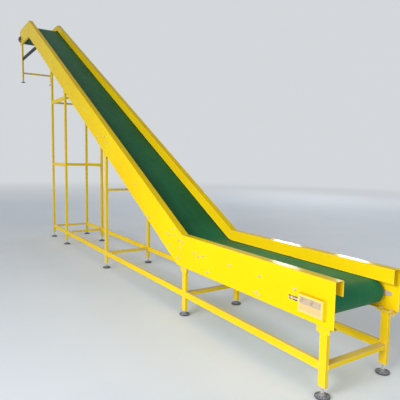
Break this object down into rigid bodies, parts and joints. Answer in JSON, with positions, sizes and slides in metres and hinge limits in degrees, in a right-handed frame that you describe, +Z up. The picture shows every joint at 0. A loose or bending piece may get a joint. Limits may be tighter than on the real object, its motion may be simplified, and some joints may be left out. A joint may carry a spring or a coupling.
{
  "type": "inclined belt conveyor",
  "caption": "Fixed inclined belt conveyor with level infeed and discharge runs, folded steel side plates, flat belt over drums and rollers, on a tube stand with screw feet",
  "frame": {"origin": "on the floor, under the belt's centre line, midway between the two tail feet", "axes": "+X along the belt's plan line towards the infeed (tail) end, +Y to the far side with the drive, +Z up"},
  "size_m": [6.4604, 0.6493, 3.0215],
  "materials": {
    "bearing_iron": "cast",
    "bed_zinc": "galvanised",
    "belt_green": "smooth satin",
    "brace_dark": "satin",
    "bright_steel": "zinc plated",
    "drum_steel": "turned",
    "gearbox_grey": "satin",
    "motor_grey": "satin",
    "pad_black": "matt",
    "panel_pale": "satin",
    "roller_zinc": "zinc plated",
    "skid_plastic": "matt",
    "yellow_paint": "glossy enamel"
  },
  "bodies": {
    "frame": {"belt": "belt_green", "floor_cross_rails": "yellow_paint", "floor_foot_pads": "pad_black", "floor_foot_screws": "bright_steel", "floor_leg_end_plates": "yellow_paint", "floor_rail_far": "yellow_paint", "floor_rail_near": "yellow_paint", "gearbox": "gearbox_grey", "head_bearings": "bearing_iron", "head_bed": "bed_zinc", "head_braces": "brace_dark", "head_cross_bar": "yellow_paint", "head_foot_pads": "pad_black", "head_foot_screws": "bright_steel", "head_leg_end_plates": "yellow_paint", "head_legs": "yellow_paint", "head_plate_far": "yellow_paint", "head_plate_near": "yellow_paint", "high_cross_bars": "yellow_paint", "high_side_bars": "yellow_paint", "hold_down_skids": "skid_plastic", "incline_bed": "bed_zinc", "incline_plate_far": "yellow_paint", "incline_plate_near": "yellow_paint", "leg_3_cross_bar": "yellow_paint", "leg_brackets": "yellow_paint", "leg_pair_1": "yellow_paint", "leg_pair_2": "yellow_paint", "leg_pair_3": "yellow_paint", "leg_pair_4": "yellow_paint", "leg_pair_5": "yellow_paint", "mid_cross_bars": "yellow_paint", "mid_side_bars": "yellow_paint", "motor": "motor_grey", "roller_axles": "bright_steel", "tail_bed": "bed_zinc", "tail_plate_far": "yellow_paint", "tail_plate_near": "yellow_paint", "tail_shaft": "bright_steel", "take_up_blocks": "bright_steel", "take_up_boxes": "yellow_paint", "take_up_panels": "panel_pale", "take_up_screws": "bright_steel", "torque_arm": "yellow_paint"},
    "head_drum": {"head_drum": "drum_steel"},
    "tail_drum": {"tail_drum": "drum_steel"},
    "bend_roller": {"bend_roller": "roller_zinc"},
    "snub_roller": {"snub_roller": "roller_zinc"},
    "return_roller_1": {"return_roller_1": "roller_zinc"},
    "return_roller_2": {"return_roller_2": "roller_zinc"},
    "return_roller_3": {"return_roller_3": "roller_zinc"},
    "return_roller_4": {"return_roller_4": "roller_zinc"},
    "return_roller_5": {"return_roller_5": "roller_zinc"},
    "return_roller_6": {"return_roller_6": "roller_zinc"}
  },
  "joints": [
    {"name": "head_drum_spin", "type": "hinge", "parent": "frame", "child": "head_drum", "pos_m": [-6.336, 0, 2.88198], "axis": [0, 1, 0], "continuous": true},
    {"name": "tail_drum_spin", "type": "hinge", "parent": "frame", "child": "tail_drum", "pos_m": [-0.07, 0, 0.4045], "axis": [0, 1, 0], "continuous": true},
    {"name": "bend_roller_spin", "type": "hinge", "parent": "frame", "child": "bend_roller", "pos_m": [-1.27, 0, 0.376], "axis": [0, 1, 0], "continuous": true},
    {"name": "snub_roller_spin", "type": "hinge", "parent": "frame", "child": "snub_roller", "pos_m": [-5.76626, 0, 2.84198], "axis": [0, 1, 0], "continuous": true},
    {"name": "return_roller_1_spin", "type": "hinge", "parent": "frame", "child": "return_roller_1", "pos_m": [-0.45, 0, 0.3595], "axis": [0, 1, 0], "continuous": true},
    {"name": "return_roller_2_spin", "type": "hinge", "parent": "frame", "child": "return_roller_2", "pos_m": [-0.905, 0, 0.3595], "axis": [0, 1, 0], "continuous": true},
    {"name": "return_roller_3_spin", "type": "hinge", "parent": "frame", "child": "return_roller_3", "pos_m": [-1.701, 0, 0.59784], "axis": [0, 1, 0], "continuous": true},
    {"name": "return_roller_4_spin", "type": "hinge", "parent": "frame", "child": "return_roller_4", "pos_m": [-2.85, 0, 1.23212], "axis": [0, 1, 0], "continuous": true},
    {"name": "return_roller_5_spin", "type": "hinge", "parent": "frame", "child": "return_roller_5", "pos_m": [-3.999, 0, 1.8664], "axis": [0, 1, 0], "continuous": true},
    {"name": "return_roller_6_spin", "type": "hinge", "parent": "frame", "child": "return_roller_6", "pos_m": [-5.148, 0, 2.50068], "axis": [0, 1, 0], "continuous": true}
  ],
  "couplings": [
    {"joint": "tail_drum_spin", "follows": "head_drum_spin", "ratio": 1.0847},
    {"joint": "bend_roller_spin", "follows": "head_drum_spin", "ratio": 2},
    {"joint": "snub_roller_spin", "follows": "head_drum_spin", "ratio": -2.3704},
    {"joint": "return_roller_1_spin", "follows": "head_drum_spin", "ratio": -2.3704},
    {"joint": "return_roller_2_spin", "follows": "head_drum_spin", "ratio": -2.3704},
    {"joint": "return_roller_3_spin", "follows": "head_drum_spin", "ratio": -2.3704},
    {"joint": "return_roller_4_spin", "follows": "head_drum_spin", "ratio": -2.3704},
    {"joint": "return_roller_5_spin", "follows": "head_drum_spin", "ratio": -2.3704},
    {"joint": "return_roller_6_spin", "follows": "head_drum_spin", "ratio": -2.3704}
  ]
}
